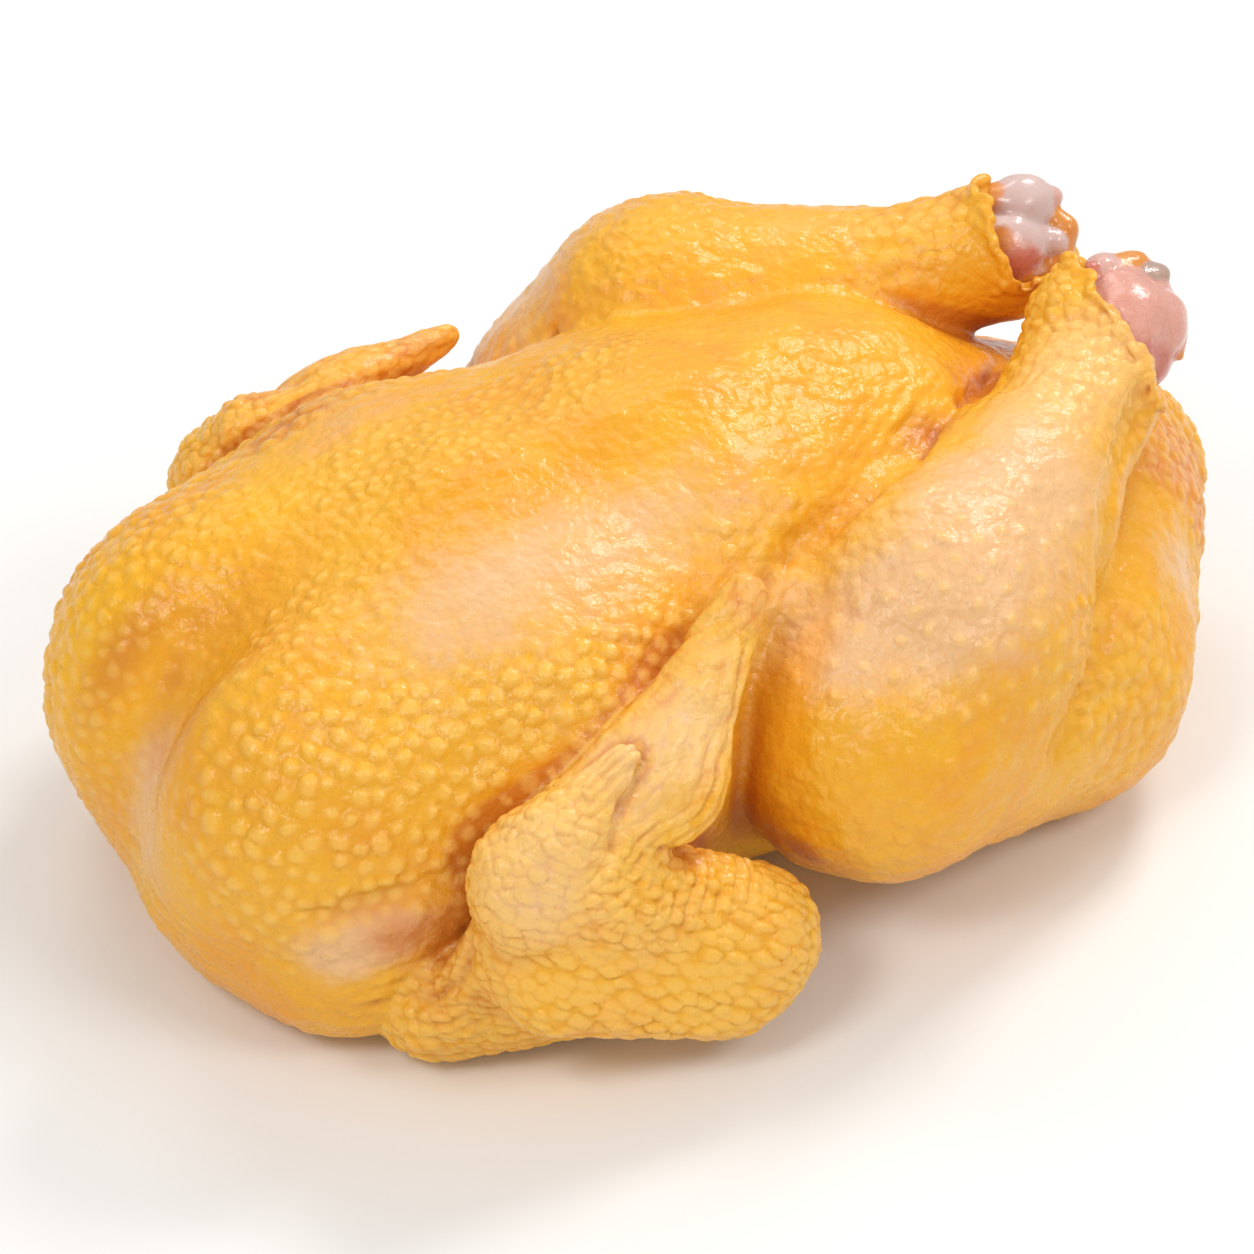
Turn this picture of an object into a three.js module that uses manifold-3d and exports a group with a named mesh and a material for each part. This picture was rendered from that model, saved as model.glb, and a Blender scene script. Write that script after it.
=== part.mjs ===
// Whole raw chicken, plucked and drawn, lying on its back with the breast up.
// Millimetres. +Z is up, -X the neck end, +X the tail end, -Y the bird's right side.
// The bird is sculpted from rounded masses that flow into one another: trunk,
// hindquarters with both legs, and two folded wings. The flat spot at z = 0 is its rest.
import * as THREE from 'three';
import Module from 'manifold-3d';

const wasm = await Module();
wasm.setup();

// Middle of the sculpted bird's outline, which the finished bird is moved to stand over
const MIDDLE = [2.7, -0.1];

// Facet size of each sculpted mass
const BODY_CELL = 7.8;
const WING_CELL = 4.8;
const HOCK_CELL = 3;

// Trunk: one breast half as a row of rounded sections [x, y, z, radius], neck to keel tip
const BREAST_ROW = [
  [-96, 25, 48, 43],
  [-52, 29, 51, 46],
  [2, 18, 64, 37],
  [44, 8, 66, 28.5],
  [84, 1, 61, 12],
];
const BREAST_BLEND = 44;
const BACK = { at: [0, 0, 34], size: [112, 52, 40] };
const FLANKS = { at: [4, 0, 26], size: [60, 62, 28] };
const BELLY = { at: [66, 0, 38], size: [54, 40, 34] };
const KEEL_RADIUS = 6;
const KEEL = [[-50, 0, 92], [30, 0, 95], [84, 0, 70]];
const CLEFT = { from: [-157, 0, 30], to: [-96, 0, 114], wide: 7, narrow: 3 };
const NECK_STUMP = { at: [-100, -14, 20], size: [32, 38, 24] };
const SHOULDER_RIGHT = { at: [-101, -38, 24], size: [27, 26, 25] };
const SHOULDER_LEFT = { at: [-96, 46, 25], size: [30, 27, 26] };

// Hindquarters
const RUMP = { at: [95, -7, 44], size: [40, 43, 33] };
const TAIL = { at: [118, -2, 43], size: [28, 28, 23] };
const HIP_RADIUS = 33;
const KNEE_RADIUS = 34;
const SEAT_RADIUS = 28;
const CALF_RADIUS = 33;
const SHIN_RADIUS = 22;
const SHANK_RADIUS = 14.5;
const HOCK_RADIUS = 17;
const LEG_RIGHT = {
  seat: [84, -20, 31],
  hip: [72, -50, 33],
  knee: [15, -67, 50],
  calf: [35, -59, 65.5],
  shin: [64, -46, 78],
  shank: [91, -33, 88.5],
  hock: [110, -22, 96],
};
const LEG_LEFT = {
  seat: [84, 20, 31],
  hip: [76, 40, 34],
  knee: [20, 60, 56],
  calf: [36, 55, 75],
  shin: [64, 41, 83],
  shank: [86, 29, 91],
  hock: [105, 19, 98],
};

// Folded wings: upper arm, forearm with its skin web, hand and thumb
const UPPER_ARM_RADIUS = 20;
const ELBOW_RADIUS = 14;
const WRIST_RADIUS = 14;
const HAND_RADIUS = 13;
const WING_TIP_RADIUS = 5;
const WEB_HALF_THICKNESS = 5;
const WING_RIGHT = {
  shoulder: [-88, -56, 18],
  elbow: [-33, -91, 28],
  wrist: [-80, -82, 58],
  hand: [-48, -78, 70],
  tip: [-18, -64, 97],
  thumbRoot: [-76, -80, 68],
  thumbTip: [-58, -77, 80],
  webCorner: [-100, -68, 16],
  lowerFront: [-78, -86, 34],
  lowerBack: [-42, -95, 22],
  outward: [-0.35, -0.75, 0.55],
};
const WING_LEFT = {
  shoulder: [-88, 54, 18],
  elbow: [-36, 90, 26],
  wrist: [-72, 76, 64],
  hand: [-46, 74, 76],
  tip: [-18, 72, 84],
  thumbRoot: [-68, 73, 76],
  thumbTip: [-54, 68, 84],
  webCorner: [-98, 64, 22],
  lowerFront: [-72, 84, 36],
  lowerBack: [-36, 94, 24],
  outward: [-0.35, 0.75, 0.55],
};

// Bared joint at the end of each drumstick: knobs [along, side, up, radius] on a bone stub
const SEAT_GAP = 0.35;
const BONE_RADIUS = 5;
const BONE_DEPTH = 26;

const sub = (a, b) => [a[0] - b[0], a[1] - b[1], a[2] - b[2]];
const add = (a, b, t = 1) => [a[0] + b[0] * t, a[1] + b[1] * t, a[2] + b[2] * t];
const dot = (a, b) => a[0] * b[0] + a[1] * b[1] + a[2] * b[2];
const cross = (a, b) => [
  a[1] * b[2] - a[2] * b[1],
  a[2] * b[0] - a[0] * b[2],
  a[0] * b[1] - a[1] * b[0],
];
const length = (a) => Math.sqrt(dot(a, a));
const unit = (a) => a.map((v) => v / length(a));

// A form is a function of a point that is negative inside the flesh and positive outside
const egg = ({ at, size }) => (p) => {
  const q = sub(p, at);
  const near = Math.hypot(q[0] / size[0], q[1] / size[1], q[2] / size[2]);
  const steep = Math.hypot(q[0] / size[0] ** 2, q[1] / size[1] ** 2, q[2] / size[2] ** 2);
  return near * (near - 1) / Math.max(steep, 1e-9);
};

// Tapered limb with round ends, from radius ra at a to radius rb at b
const limb = (a, b, ra, rb) => {
  const ba = sub(b, a);
  const l2 = dot(ba, ba);
  const rr = ra - rb;
  const a2 = l2 - rr * rr;
  const il2 = 1 / l2;
  return (p) => {
    const pa = sub(p, a);
    const y = dot(pa, ba);
    const z = y - l2;
    const w = pa.map((v, i) => v * l2 - ba[i] * y);
    const x2 = dot(w, w);
    const y2 = y * y * l2;
    const z2 = z * z * l2;
    const k = Math.sign(rr) * rr * rr * x2;
    if (Math.sign(z) * a2 * z2 > k) return Math.sqrt(x2 + z2) * il2 - rb;
    if (Math.sign(y) * a2 * y2 < k) return Math.sqrt(x2 + y2) * il2 - ra;
    return (Math.sqrt(x2 * a2 * il2) + y * rr) * il2 - ra;
  };
};

// The same limb pressed flat towards the direction it faces
const flatLimb = (a, b, ra, rb, flat, outward) => {
  const axis = unit(sub(b, a));
  const face = unit(add(outward, axis, -dot(outward, axis)));
  const round = limb(a, b, ra, rb);
  return (p) => flat * round(add(p, face, dot(sub(p, a), face) * (1 / flat - 1)));
};

// Web of skin stretched between three points
const skinWeb = (a, b, c, half) => {
  const sides = [[a, sub(b, a)], [b, sub(c, b)], [c, sub(a, c)]];
  const normal = cross(sides[0][1], sides[2][1]);
  return (p) => {
    let inside = 0;
    let edge = Infinity;
    for (const [corner, along] of sides) {
      const q = sub(p, corner);
      const t = Math.min(1, Math.max(0, dot(q, along) / dot(along, along)));
      edge = Math.min(edge, length(add(q, along, -t)));
      inside += Math.sign(dot(cross(along, normal), q));
    }
    const face = Math.abs(dot(sub(p, a), normal)) / length(normal);
    return (inside < 2 ? edge : face) - half;
  };
};

// Two values flowing into one another over a blend width
const meld = (a, b, width) => {
  const h = Math.max(width - Math.abs(a - b), 0) / width;
  return Math.min(a, b) - h * h * width * 0.25;
};
const join = (width, ...forms) => (p) => {
  return forms.reduce((d, form) => meld(d, form(p), width), Infinity);
};
const hollow = (width, form, tool) => (p) => -meld(-form(p), tool(p), width);

function breastHalf(side) {
  const spots = BREAST_ROW.map(([x, y, z]) => [x, side * y, z]);
  const rows = [];
  for (let i = 0; i + 1 < spots.length; i += 1) {
    rows.push(limb(spots[i], spots[i + 1], BREAST_ROW[i][3], BREAST_ROW[i + 1][3]));
  }
  return join(10, ...rows);
}

function trunkForm() {
  const back = join(12, egg(BACK), egg(FLANKS));
  const breast = join(BREAST_BLEND, breastHalf(-1), breastHalf(1));
  const keelFront = limb(KEEL[0], KEEL[1], KEEL_RADIUS, KEEL_RADIUS);
  const keelBack = limb(KEEL[1], KEEL[2], KEEL_RADIUS, KEEL_RADIUS);
  let form = join(14, back, breast);
  form = join(22, form, keelFront);
  form = join(16, form, keelBack);
  form = join(20, form, egg(BELLY));
  form = hollow(30, form, limb(CLEFT.from, CLEFT.to, CLEFT.wide, CLEFT.narrow));
  form = join(16, form, egg(NECK_STUMP));
  return join(7, form, egg(SHOULDER_RIGHT), egg(SHOULDER_LEFT));
}

function legForm(leg) {
  const thigh = join(
    6,
    limb(leg.hip, leg.knee, HIP_RADIUS, KNEE_RADIUS),
    limb(leg.hip, leg.seat, HIP_RADIUS, SEAT_RADIUS),
  );
  const calf = join(
    8,
    limb(leg.knee, leg.calf, CALF_RADIUS, CALF_RADIUS),
    limb(leg.calf, leg.shin, CALF_RADIUS, SHIN_RADIUS),
  );
  const shin = join(
    8,
    limb(leg.shin, leg.shank, SHIN_RADIUS, SHANK_RADIUS),
    limb(leg.shank, leg.hock, SHANK_RADIUS, HOCK_RADIUS),
  );
  return join(4, join(30, thigh, egg(RUMP)), join(10, calf, shin));
}

function bodyForm() {
  const legs = join(5, legForm(LEG_RIGHT), legForm(LEG_LEFT));
  return join(4, join(5, trunkForm(), legs), egg(TAIL));
}

function wingForm(wing) {
  const upperArm = limb(wing.shoulder, wing.elbow, UPPER_ARM_RADIUS, ELBOW_RADIUS);
  const forearm = flatLimb(wing.wrist, wing.elbow, WRIST_RADIUS, 16, 0.75, wing.outward);
  const underEdge = flatLimb(wing.lowerFront, wing.lowerBack, 13, 12, 0.7, wing.outward);
  const web = skinWeb(wing.wrist, wing.webCorner, wing.elbow, WEB_HALF_THICKNESS);
  const palm = flatLimb(wing.wrist, wing.hand, WRIST_RADIUS, HAND_RADIUS, 0.62, wing.outward);
  const fingers = flatLimb(wing.hand, wing.tip, HAND_RADIUS, WING_TIP_RADIUS, 0.62, wing.outward);
  const thumb = flatLimb(wing.thumbRoot, wing.thumbTip, 9, 4, 0.75, wing.outward);
  const lower = join(10, join(8, forearm, underEdge), web);
  const hand = join(3, join(5, palm, fingers), thumb);
  return join(6, join(3, lower, upperArm), hand);
}

// Knuckles and bone stub bared where the foot was taken off
function hockForm(leg, knobs) {
  const along = unit(sub(leg.hock, leg.shank));
  const side = unit(cross([0, 0, 1], along));
  const up = cross(along, side);
  const spot = (a, s, u) => add(add(add(leg.hock, along, a), side, s), up, u);
  const bone = limb(spot(-BONE_DEPTH, 0, 0), spot(0, 0, 0), BONE_RADIUS, BONE_RADIUS);
  const lumps = knobs.map(([a, s, u, ...size]) => egg({ at: spot(a, s, u), size }));
  return join(3, bone, ...lumps);
}

// Direction in which the form's value rises, per millimetre
function slopeAt(form, p) {
  return [0, 1, 2].map((i) => {
    const shift = [0, 0, 0];
    shift[i] = 0.05;
    return (form(add(p, shift)) - form(add(p, shift, -1))) / 0.1;
  });
}

// Point on the form nearest to p, by stepping down its slope
function settle(form, p, reach) {
  let q = p;
  for (let step = 0; step < 4; step += 1) {
    const slope = slopeAt(form, q);
    const next = add(q, slope, -form(q) / Math.max(dot(slope, slope), 0.2));
    if (length(sub(next, p)) > reach) return q;
    q = next;
  }
  return q;
}

// Corners of a cell, its twelve edges by their end corners, and the edges of its six sides
const CORNERS = [];
for (let c = 0; c < 8; c += 1) CORNERS.push([c >> 2, (c >> 1) & 1, c & 1]);
const EDGES = [];
for (let c = 0; c < 8; c += 1) {
  for (const bit of [4, 2, 1]) if (!(c & bit)) EDGES.push([c, c | bit]);
}
const SIDES = [];
for (const bit of [4, 2, 1]) {
  for (const face of [0, bit]) {
    const rim = EDGES.map((_, i) => i);
    SIDES.push(rim.filter((i) => EDGES[i].every((c) => (c & bit) === face)));
  }
}

// Groups the crossed edges of a cell into the separate patches of surface in it
function patches(values) {
  const crossed = EDGES.map(([c, e]) => (values[c] < 0) !== (values[e] < 0));
  const group = EDGES.map((_, i) => i);
  const unite = (i, j) => {
    const old = group[j];
    group.forEach((g, n) => {
      if (g === old) group[n] = group[i];
    });
  };
  for (const side of SIDES) {
    const cut = side.filter((i) => crossed[i]);
    if (cut.length === 2) unite(cut[0], cut[1]);
    if (cut.length < 4) continue;
    for (let c = 0; c < 8; c += 1) {
      const pair = cut.filter((i) => EDGES[i].includes(c));
      if (values[c] < 0 && pair.length === 2) unite(pair[0], pair[1]);
    }
  }
  const found = new Map();
  crossed.forEach((hit, i) => {
    if (!hit) return;
    if (!found.has(group[i])) found.set(group[i], []);
    found.get(group[i]).push(i);
  });
  return [...found.values()];
}

// Mean of the points where the surface crosses the edges of one patch
function patchPoint(patch, values, base, cell) {
  const sum = [0, 0, 0];
  for (const edge of patch) {
    const [c, e] = EDGES[edge];
    const t = values[c] / (values[c] - values[e]);
    for (let i = 0; i < 3; i += 1) sum[i] += CORNERS[c][i] + t * (CORNERS[e][i] - CORNERS[c][i]);
  }
  return add(base, sum, cell / patch.length);
}

// Closed facets over a form: one point for each patch of surface in a cell,
// moved out by swell
function sculpt(form, low, high, cell, swell = 0) {
  const n = low.map((v, i) => Math.ceil((high[i] - v) / cell) + 1);
  const place = (i, j, k) => (i * n[1] + j) * n[2] + k;
  const values = new Float64Array(n[0] * n[1] * n[2]);
  const points = [];
  const facets = [];
  const owner = new Int32Array(values.length * EDGES.length).fill(-1);
  const cells = (visit) => {
    for (let i = 0; i < n[0]; i += 1) {
      for (let j = 0; j < n[1]; j += 1) {
        for (let k = 0; k < n[2]; k += 1) visit(i, j, k);
      }
    }
  };
  cells((i, j, k) => {
    values[place(i, j, k)] = form(add(low, [i, j, k], cell));
  });
  cells((i, j, k) => {
    if (i + 1 === n[0] || j + 1 === n[1] || k + 1 === n[2]) return;
    const corner = CORNERS.map(([a, b, c]) => values[place(i + a, j + b, k + c)]);
    for (const patch of patches(corner)) {
      const p = patchPoint(patch, corner, add(low, [i, j, k], cell), cell);
      const q = settle(form, p, cell * 0.4);
      for (const edge of patch) owner[place(i, j, k) * EDGES.length + edge] = points.length;
      points.push(add(q, unit(slopeAt(form, q)), swell));
    }
  });
  cells((i, j, k) => {
    const here = values[place(i, j, k)] < 0;
    for (let axis = 0; axis < 3; axis += 1) {
      const far = [i, j, k];
      far[axis] += 1;
      if (far[axis] === n[axis]) continue;
      if (here === (values[place(...far)] < 0)) continue;
      const ring = ringOfCells([i, j, k], axis);
      const ids = ring.map(([c, edge]) => owner[place(...c) * EDGES.length + edge]);
      if (here) ids.reverse();
      facets.push(...splitQuad(ids, points));
    }
  });
  return solid(points, facets);
}

// The four cells round one grid edge in turning order, each with its own number for the edge
function ringOfCells(spot, axis) {
  const a = (axis + 1) % 3;
  const b = (axis + 2) % 3;
  const bit = [4, 2, 1];
  return [[0, 0], [0, -1], [-1, -1], [-1, 0]].map(([u, v]) => {
    const cell = [...spot];
    cell[a] += u;
    cell[b] += v;
    const from = (u ? bit[a] : 0) | (v ? bit[b] : 0);
    return [cell, EDGES.findIndex(([c, e]) => c === from && e === (from | bit[axis]))];
  });
}

// Two facets from four points, cut along the shorter diagonal
function splitQuad([a, b, c, d], points) {
  const across = length(sub(points[a], points[c]));
  const other = length(sub(points[b], points[d]));
  return across < other ? [a, b, c, a, c, d] : [a, b, d, b, c, d];
}

function solid(points, facets) {
  return new wasm.Manifold(new wasm.Mesh({
    numProp: 3,
    vertProperties: Float32Array.from(points.flat()),
    triVerts: Uint32Array.from(facets),
  }));
}

// Slab under the table plane, which leaves the flat spot the bird rests on
function underTable() {
  const slab = new THREE.BoxGeometry(400, 300, 40);
  slab.translate(0, 0, -20);
  const corners = slab.getAttribute('position');
  const key = new Map();
  const points = [];
  const ids = [];
  for (let i = 0; i < corners.count; i += 1) {
    const p = [corners.getX(i), corners.getY(i), corners.getZ(i)];
    if (!key.has(`${p}`)) key.set(`${p}`, points.push(p) - 1);
    ids.push(key.get(`${p}`));
  }
  return solid(points, Array.from(slab.getIndex().array, (i) => ids[i]));
}

const skinMaterial = () => new THREE.MeshStandardMaterial({
  color: 0xe9ac4e,
  roughness: 0.42,
  metalness: 0,
});
const jointMaterial = () => new THREE.MeshStandardMaterial({
  color: 0xd9a7a4,
  roughness: 0.28,
  metalness: 0,
});

function named(name, body, material) {
  const { vertProperties, triVerts, numProp } = body.getMesh();
  const geometry = new THREE.BufferGeometry();
  const flat = [];
  for (let i = 0; i < vertProperties.length; i += numProp) {
    flat.push(vertProperties[i] - MIDDLE[0], vertProperties[i + 1] - MIDDLE[1], vertProperties[i + 2]);
  }
  geometry.setAttribute('position', new THREE.Float32BufferAttribute(flat, 3));
  geometry.setIndex(Array.from(triVerts));
  geometry.computeVertexNormals();
  const mesh = new THREE.Mesh(geometry, material);
  mesh.name = name;
  return mesh;
}

const hockRight = hockForm(LEG_RIGHT, [
  [8, -1, -2, 12, 11.5, 12.5],
  [7, 5, 9, 8, 7, 6],
  [10, -8, 4, 7, 6, 8],
]);
const hockLeft = hockForm(LEG_LEFT, [
  [8, 1, 7, 10, 11, 9],
  [9, -2, -6, 8, 12, 6.5],
]);

function hockSolid(form, leg, swell) {
  const low = add(leg.hock, [-30, -30, -30]);
  const high = add(leg.hock, [30, 30, 30]);
  return sculpt(form, low, high, HOCK_CELL, swell);
}

function carcass() {
  const body = sculpt(bodyForm(), [-150, -111, -15], [158, 112, 124], BODY_CELL);
  const right = sculpt(wingForm(WING_RIGHT), [-122, -116, -8], [-8, -28, 108], WING_CELL);
  const left = sculpt(wingForm(WING_LEFT), [-122, 28, -8], [-8, 116, 104], WING_CELL);
  return body.add(right).add(left)
    .subtract(hockSolid(hockRight, LEG_RIGHT, SEAT_GAP))
    .subtract(hockSolid(hockLeft, LEG_LEFT, SEAT_GAP))
    .subtract(underTable());
}

const chicken = new THREE.Group();
chicken.name = 'whole_raw_chicken';
chicken.add(named('carcass', carcass(), skinMaterial()));
chicken.add(named('hock_right', hockSolid(hockRight, LEG_RIGHT, 0), jointMaterial()));
chicken.add(named('hock_left', hockSolid(hockLeft, LEG_LEFT, 0), jointMaterial()));

export default chicken;
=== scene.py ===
import math
import random
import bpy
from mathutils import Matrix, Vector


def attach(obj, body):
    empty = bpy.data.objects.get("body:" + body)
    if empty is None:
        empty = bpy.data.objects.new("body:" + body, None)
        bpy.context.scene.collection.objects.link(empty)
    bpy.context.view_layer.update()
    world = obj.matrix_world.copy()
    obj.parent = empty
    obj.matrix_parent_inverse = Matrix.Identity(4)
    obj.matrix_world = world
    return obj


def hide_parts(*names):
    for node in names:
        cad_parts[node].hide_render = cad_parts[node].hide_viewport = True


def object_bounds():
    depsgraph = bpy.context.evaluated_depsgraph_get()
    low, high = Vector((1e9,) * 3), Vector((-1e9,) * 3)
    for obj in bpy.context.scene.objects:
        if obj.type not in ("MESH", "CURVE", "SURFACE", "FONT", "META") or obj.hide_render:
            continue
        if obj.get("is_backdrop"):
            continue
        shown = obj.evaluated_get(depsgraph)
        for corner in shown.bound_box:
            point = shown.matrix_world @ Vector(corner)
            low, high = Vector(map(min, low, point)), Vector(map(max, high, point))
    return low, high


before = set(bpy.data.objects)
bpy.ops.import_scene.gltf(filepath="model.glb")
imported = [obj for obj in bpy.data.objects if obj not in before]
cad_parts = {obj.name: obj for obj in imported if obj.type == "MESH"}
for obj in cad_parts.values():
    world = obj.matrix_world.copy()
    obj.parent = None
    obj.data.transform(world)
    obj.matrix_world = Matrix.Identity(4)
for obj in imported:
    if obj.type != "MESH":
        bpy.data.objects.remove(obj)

from concurrent.futures import ThreadPoolExecutor

import bmesh
import bpy
import numpy as np
from mathutils import Matrix, Vector, kdtree

bl_info = {
    "name": "Whole raw chicken",
    "version": (1, 0, 0),
    "blender": (4, 5, 0),
    "location": "3D View > Sidebar > Chicken",
    "description": "Builds a whole raw chicken with corn-yellow skin, and a plain studio around it",
    "category": "Add Mesh",
}

MM = 0.001
# The form is worked out about a point in the breast, and this is the middle of its box.
MIDDLE = np.array([2.7, -0.1, 0.0])
CAD_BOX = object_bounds()

# Sizes of the form, in millimetres.

# Each breast lobe: x, y on its side, z and radius along its ridge.
LOBE = [(-96, 25, 48, 43), (-52, 29, 51, 46), (2, 18, 64, 37), (44, 8, 66, 28.5), (84, 1, 61, 12)]
# The round masses of the body: centre and radii of each.
BELLY = ((0, 0, 34), (112, 52, 40))
BACK = ((4, 0, 26), (60, 62, 28))
TAIL_END = ((66, 0, 38), (54, 40, 34))
NECK_END = ((-100, -14, 20), (32, 38, 24))
SHOULDERS = (((-101, -38, 24), (27, 26, 25)), ((-96, 46, 25), (30, 27, 26)))
RUMP = ((118, -2, 43), (28, 28, 23))
THIGH_ROOT = ((95, -7, 44), (40, 43, 33))
# The bars along the breast, and the one that parts its lobes in front: both ends, and the radius at each.
KEEL = ((-50, 0, 92), (30, 0, 95), 6, 6)
KEEL_END = ((30, 0, 95), (84, 0, 70), 6, 6)
PARTING = ((-157, 0, 30), (-96, 0, 114), 7, 3)
LEGS = {
    -1: dict(seat=(84, -20, 31), hip=(72, -50, 33), knee=(15, -67, 50), calf=(35, -59, 65.5),
             mid=(64, -46, 78), shank=(91, -33, 88.5), hock=(110, -22, 96)),
    1: dict(seat=(84, 20, 31), hip=(76, 40, 34), knee=(20, 60, 56), calf=(36, 55, 75),
            mid=(64, 41, 83), shank=(86, 29, 91), hock=(105, 19, 98)),
}
WINGS = {
    -1: dict(shoulder=(-88, -56, 18), elbow=(-33, -91, 28), wrist=(-80, -82, 58), mid=(-48, -78, 70),
             tip=(-18, -64, 97), thumb0=(-77, -83, 67), thumb1=(-57.5, -80.5, 80), apex=(-100, -68, 16),
             low0=(-78, -86, 34), low1=(-42, -95, 22), face=(-0.35, -0.75, 0.55)),
    1: dict(shoulder=(-88, 54, 18), elbow=(-36, 90, 26), wrist=(-72, 76, 64), mid=(-46, 74, 76),
            tip=(-18, 72, 84), thumb0=(-68, 73, 76), thumb1=(-54, 68, 84), apex=(-98, 64, 22),
            low0=(-72, 84, 36), low1=(-36, 94, 24), face=(-0.35, 0.75, 0.55)),
}
# The bars of the limbs: both joints, the radius at each, how flat, and how softly it joins the one before.
THIGH = [("hip", "knee", 33, 34, 1, 0), ("hip", "seat", 33, 28, 1, 6)]
CALF = [("knee", "calf", 33, 33, 1, 0), ("calf", "mid", 33, 22, 1, 8), ("mid", "shank", 22, 14.5, 1, 10),
        ("shank", "hock", 14.5, 17, 1, 8)]
FOREARM = [("wrist", "elbow", 14, 16, 0.75, 0), ("low0", "low1", 13, 12, 0.7, 8)]
HAND = [("wrist", "mid", 14, 13, 0.62, 0), ("mid", "tip", 13, 5, 0.62, 5),
        ("thumb0", "thumb1", 9.5, 3.6, 0.75, 1.2)]
WEB_THICK = 5
# The deepest grooves: the points along each, its radius and how softly it is cut.
GULLIES = [
    ([(99, -47, 96), (97, -49, 93), (87, -58, 90), (79, -66, 88), (75, -72, 79), (73, -73, 66),
      (65, -82, 60), (57, -89, 55), (48, -94, 49)], 3.2, 6),
    ([(-12, -56, 86), (6, -48, 92), (22, -45, 96), (40, -38, 98)], 1.6, 6),
    ([(86, 51, 96), (78, 63, 90), (68, 78, 76), (58, 90, 62)], 2.2, 8),
    ([(-122, -60, 49), (-112, -65, 51), (-104, -67.5, 52.5), (-97, -70, 53.5), (-91, -73, 54)], 1.8, 7),
]
# Where the skin of each leg is cut: a point and the direction of each plane that bounds the part cut off.
CUTS = {
    -1: [((109.6, -16, 95.8), (0.896, -0.18, 0.404))],
    1: [((104.6, 23, 102), (0.84, -0.44, 0.31)), ((113, 12, 96), (0.12, 0.1, 0.98))],
}
CUT_REACH = 29
# The hollow in each sleeve: its reach before and past the hock, and the radius at both ends.
SLEEVE = (9, 16, 12.5, 13.5)
# The skin of the right leg stands up in a fold beside its joint: three points, and the radius at each.
LEG_FOLD = [((85, -25, 89), 8), ((98.5, -15.5, 102), 6.5), ((103.5, -11.5, 109.6), 2.6)]


# Distance forms: each takes points and gives how far outside the form they lie.


def vec(*numbers):
    """Numbers as an array that can be added and scaled."""
    return np.array(numbers, float)


def unit(v):
    """v at length 1."""
    return np.asarray(v, float) / np.linalg.norm(v)


def meld(a, b, k):
    """The nearer of two distances, rounded over k."""
    h = np.maximum(k - np.abs(a - b), 0) / k
    return np.minimum(a, b) - h * h * k * 0.25


def carve(a, b, k):
    """a without b, its edge rounded over k."""
    return -meld(-a, b, k)


def egg(p, centre, radii):
    """An egg with one radius along each axis."""
    q = p - vec(*centre)
    r = vec(*radii)
    near = np.sqrt(((q / r) ** 2).sum(-1))
    slope = np.sqrt(((q / r ** 2) ** 2).sum(-1))
    return near * (near - 1) / np.maximum(slope, 1e-9)


def limb(p, a, b, ra, rb, flat=1.0, face=None):
    """A tapered round bar from a to b. flat under 1 squeezes it along the direction face."""
    a, b = vec(*a), vec(*b)
    if face is not None:
        axis = unit(b - a)
        n = vec(*face)
        n = unit(n - axis * (n @ axis))
        p = p + ((p - a) @ n)[..., None] * n * (1 / flat - 1)
    ba = b - a
    l2 = ba @ ba
    rr = ra - rb
    a2 = l2 - rr * rr
    il2 = 1 / l2
    pa = p - a
    y = pa @ ba
    z = y - l2
    w = pa * l2 - y[..., None] * ba
    x2 = (w * w).sum(-1)
    y2 = y * y * l2
    z2 = z * z * l2
    k = np.sign(rr) * rr * rr * x2
    side = (np.sqrt(x2 * a2 * il2) + y * rr) * il2 - ra
    d = np.where(np.sign(y) * a2 * y2 < k, np.sqrt(x2 + y2) * il2 - ra, side)
    d = np.where(np.sign(z) * a2 * z2 > k, np.sqrt(x2 + z2) * il2 - rb, d)
    return d * (flat if face is not None else 1.0)


def skin_web(p, a, b, c, thick):
    """A flat three-cornered web of skin."""
    a, b, c = vec(*a), vec(*b), vec(*c)
    normal = np.cross(b - a, a - c)
    edges = [(p - a, b - a), (p - b, c - b), (p - c, a - c)]

    def to_edge(q, way):
        h = np.clip((q @ way) / (way @ way), 0, 1)
        return ((q - h[..., None] * way) ** 2).sum(-1)

    inside = sum(np.sign(q @ np.cross(way, normal)) for q, way in edges)
    rim = np.minimum.reduce([to_edge(q, way) for q, way in edges])
    flat = ((p - a) @ normal) ** 2 / (normal @ normal)
    return np.sqrt(np.where(inside < 2, rim, flat)) - thick


def waves(p, seed):
    """Soft noise between about -1 and 1, one bump per unit of length."""
    rng = np.random.default_rng(seed)
    total = 0
    for _ in range(5):
        way = unit(rng.normal(size=3)) * rng.uniform(0.8, 1.3) * math.tau
        bend = unit(rng.normal(size=3)) * rng.uniform(0.3, 0.5) * math.tau
        phase = p @ way + rng.uniform(0, math.tau)
        total = total + np.sin(phase + 1.3 * np.sin(p @ bend + rng.uniform(0, math.tau)))
    return total / 3.0


def bars_form(p, joints, bars, face=None):
    """Bars from joint to joint, each melded to those before it."""
    d = None
    for start, end, r0, r1, flat, soft in bars:
        part = limb(p, joints[start], joints[end], r0, r1, flat, face)
        d = part if d is None else meld(d, part, soft)
    return d


def breast_half(p, side):
    """One lobe of the breast. side is -1 for the right one and 1 for the left one, here as below."""
    d = None
    for (x0, y0, z0, r0), (x1, y1, z1, r1) in zip(LOBE, LOBE[1:]):
        part = limb(p, (x0, y0 * side, z0), (x1, y1 * side, z1), r0, r1)
        d = part if d is None else meld(d, part, 10)
    return d


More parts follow.
